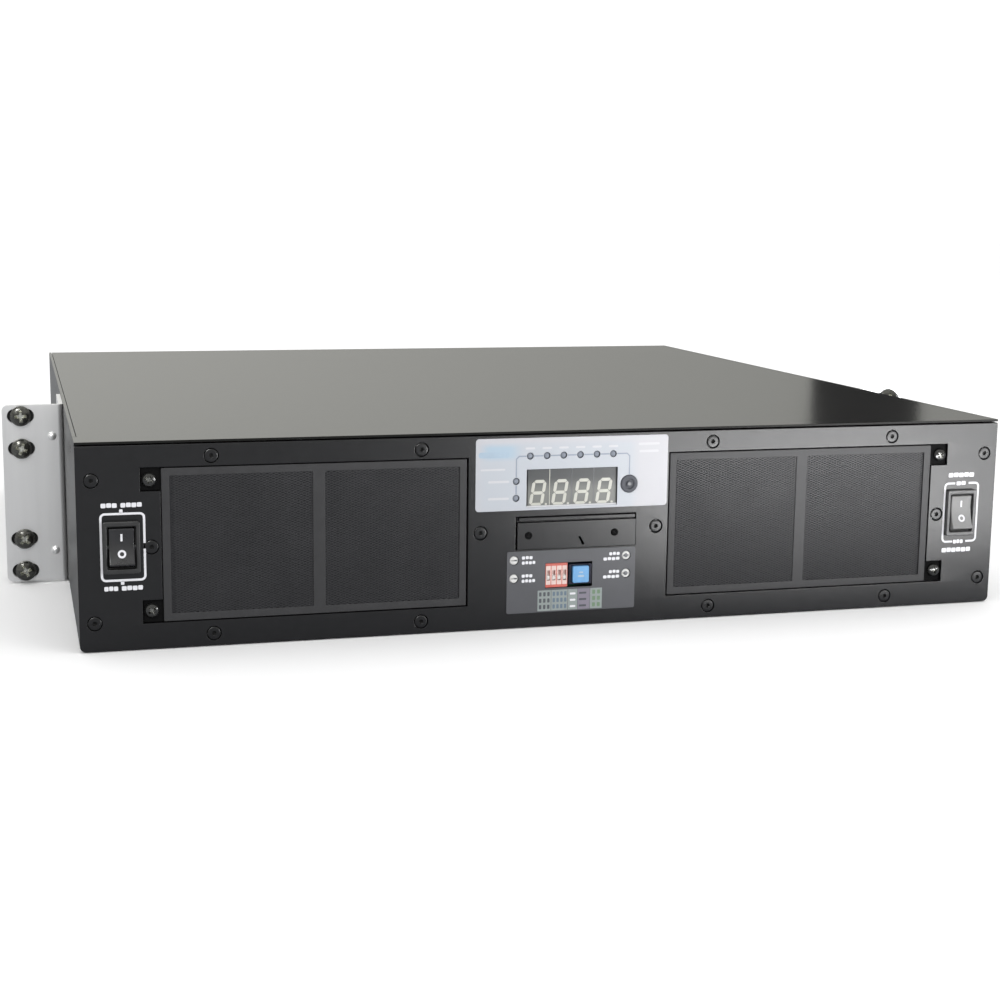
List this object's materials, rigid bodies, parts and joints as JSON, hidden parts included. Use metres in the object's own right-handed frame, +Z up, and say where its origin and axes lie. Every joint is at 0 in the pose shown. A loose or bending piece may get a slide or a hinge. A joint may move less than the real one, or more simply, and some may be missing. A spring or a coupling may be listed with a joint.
{
  "type": "uninterruptible power supply",
  "caption": "Two-unit rack-mounting uninterruptible power supply with side ears, filtered fan openings, rocker switches, digit display, settings switches and rear power connectors.",
  "frame": {"origin": "centre of the bottom face, midway between the side faces and midway between the front panel's face and the rear panel's face", "axes": "+X to the right seen from the front, +Y from the front panel to the back, +Z up"},
  "size_m": [0.4826, 0.4621, 0.088],
  "materials": {
    "panel_paint": "satin black powder coat",
    "case_paint": "fine-textured satin black",
    "lid_paint": "smooth satin black",
    "grille_paint": "satin black perforated sheet",
    "ear_metal": "brushed bare metal",
    "black_screw": "black zinc",
    "zinc_screw": "bright zinc",
    "nylon": "black nylon",
    "gauze": "open woven gauze",
    "fan_plastic": "moulded black",
    "switch_plastic": "moulded black, fine grain",
    "rocker_plastic": "moulded black",
    "white_label": "printed polyester film",
    "grey_label": "printed polyester film",
    "circuit_board": "green solder mask",
    "digit_face": "grey face, cream segments",
    "lamp_lens": "tinted lens, unlit",
    "button_grey": "moulded dark grey",
    "dip_red": "moulded red",
    "slider_white": "moulded white",
    "button_blue": "moulded light blue",
    "adjuster_white": "moulded white",
    "adjuster_blue": "moulded blue",
    "heat_sink_metal": "extruded",
    "ferrite": "taped winding on a ferrite core",
    "capacitor_sleeve": "heat-shrink sleeve",
    "battery_case": "moulded battery case",
    "bracket_zinc": "zinc-plated sheet",
    "connector_black": "moulded black",
    "terminal_metal": "plated stud in collar",
    "reset_white": "moulded white",
    "port_metal": "plated shell"
  },
  "bodies": {
    "case": {"chassis": "case_paint", "top_cover": "lid_paint", "front_panel": "panel_paint", "rear_panel": "case_paint", "ear_left": "ear_metal", "ear_right": "ear_metal", "rack_screws": "black_screw", "rack_screw_retainers": "nylon", "ear_screws": "zinc_screw", "front_panel_screws": "black_screw", "cover_screws": "black_screw", "rear_panel_screws": "black_screw", "filter_grille_left": "grille_paint", "filter_grille_right": "grille_paint", "filter_gauze": "gauze", "grille_screws": "black_screw", "fan_frames": "fan_plastic", "fan_screws": "zinc_screw", "mode_switch_housing": "switch_plastic", "power_switch_housing": "switch_plastic", "display_label": "white_label", "display_board": "circuit_board", "digit_displays": "digit_face", "status_leds": "lamp_lens", "select_button_switch": "connector_black", "slot_cover": "panel_paint", "slot_cover_screws": "black_screw", "settings_label": "grey_label", "settings_board": "circuit_board", "dip_switch_body": "dip_red", "reset_button_housing": "connector_black", "trimmer_bodies": "adjuster_blue", "power_board": "circuit_board", "heat_sinks": "heat_sink_metal", "transformers": "ferrite", "capacitors": "capacitor_sleeve", "batteries": "battery_case", "battery_bracket": "bracket_zinc", "ac_inlet": "connector_black", "ac_outlets": "connector_black", "dc_terminals": "terminal_metal", "breaker_body": "connector_black", "serial_port": "port_metal"},
    "mode_rocker": {"mode_switch_rocker": "rocker_plastic"},
    "power_rocker": {"power_switch_rocker": "rocker_plastic"},
    "select_key": {"select_button": "button_grey"},
    "reset_key": {"reset_button": "button_blue"},
    "dip_1": {"dip_slider_1": "slider_white"},
    "dip_2": {"dip_slider_2": "slider_white"},
    "dip_3": {"dip_slider_3": "slider_white"},
    "dip_4": {"dip_slider_4": "slider_white"},
    "trimmer_1": {"trimmer_rotor_1": "adjuster_white"},
    "trimmer_2": {"trimmer_rotor_2": "adjuster_white"},
    "trimmer_3": {"trimmer_rotor_3": "adjuster_white"},
    "trimmer_4": {"trimmer_rotor_4": "adjuster_white"},
    "rotor_1": {"fan_rotor_1": "fan_plastic"},
    "rotor_2": {"fan_rotor_2": "fan_plastic"},
    "rotor_3": {"fan_rotor_3": "fan_plastic"},
    "rotor_4": {"fan_rotor_4": "fan_plastic"},
    "breaker_key": {"breaker_button": "reset_white"}
  },
  "joints": [
    {"name": "mode_switch_tilt", "type": "hinge", "parent": "case", "child": "mode_rocker", "pos_m": [-0.1946, -0.2172, 0.044], "axis": [1, 0, 0], "range_deg": [0, 20]},
    {"name": "power_switch_tilt", "type": "hinge", "parent": "case", "child": "power_rocker", "pos_m": [0.1946, -0.2172, 0.044], "axis": [1, 0, 0], "range_deg": [0, 20]},
    {"name": "select_press", "type": "slide", "parent": "case", "child": "select_key", "axis": [0, 1, 0], "range_m": [0, 0.0005], "stiffness_N_per_m": 400, "springref_m": -0.0005},
    {"name": "reset_press", "type": "slide", "parent": "case", "child": "reset_key", "axis": [0, 1, 0], "range_m": [0, 0.0008], "stiffness_N_per_m": 400, "springref_m": -0.0005},
    {"name": "dip_slide_1", "type": "slide", "parent": "case", "child": "dip_1", "axis": [0, 0, 1], "range_m": [0, 0.002]},
    {"name": "dip_slide_2", "type": "slide", "parent": "case", "child": "dip_2", "axis": [0, 0, 1], "range_m": [0, 0.002]},
    {"name": "dip_slide_3", "type": "slide", "parent": "case", "child": "dip_3", "axis": [0, 0, 1], "range_m": [0, 0.002]},
    {"name": "dip_slide_4", "type": "slide", "parent": "case", "child": "dip_4", "axis": [0, 0, 1], "range_m": [0, 0.002]},
    {"name": "trimmer_turn_1", "type": "hinge", "parent": "case", "child": "trimmer_1", "pos_m": [-0.0255, -0.2125, 0.0306], "axis": [0, -1, 0], "range_deg": [-130, 130]},
    {"name": "trimmer_turn_2", "type": "hinge", "parent": "case", "child": "trimmer_2", "pos_m": [-0.0255, -0.2125, 0.0224], "axis": [0, -1, 0], "range_deg": [-130, 130]},
    {"name": "trimmer_turn_3", "type": "hinge", "parent": "case", "child": "trimmer_3", "pos_m": [0.027, -0.2125, 0.0307], "axis": [0, -1, 0], "range_deg": [-130, 130]},
    {"name": "trimmer_turn_4", "type": "hinge", "parent": "case", "child": "trimmer_4", "pos_m": [0.027, -0.2125, 0.0225], "axis": [0, -1, 0], "range_deg": [-130, 130]},
    {"name": "fan_spin_1", "type": "hinge", "parent": "case", "child": "rotor_1", "pos_m": [-0.1448, -0.201, 0.043], "axis": [0, 1, 0], "continuous": true},
    {"name": "fan_spin_2", "type": "hinge", "parent": "case", "child": "rotor_2", "pos_m": [-0.0802, -0.201, 0.043], "axis": [0, 1, 0], "continuous": true},
    {"name": "fan_spin_3", "type": "hinge", "parent": "case", "child": "rotor_3", "pos_m": [0.0802, -0.201, 0.043], "axis": [0, 1, 0], "continuous": true},
    {"name": "fan_spin_4", "type": "hinge", "parent": "case", "child": "rotor_4", "pos_m": [0.1448, -0.201, 0.043], "axis": [0, 1, 0], "continuous": true},
    {"name": "breaker_trip", "type": "slide", "parent": "case", "child": "breaker_key", "axis": [0, 1, 0], "range_m": [0, 0.003]}
  ]
}
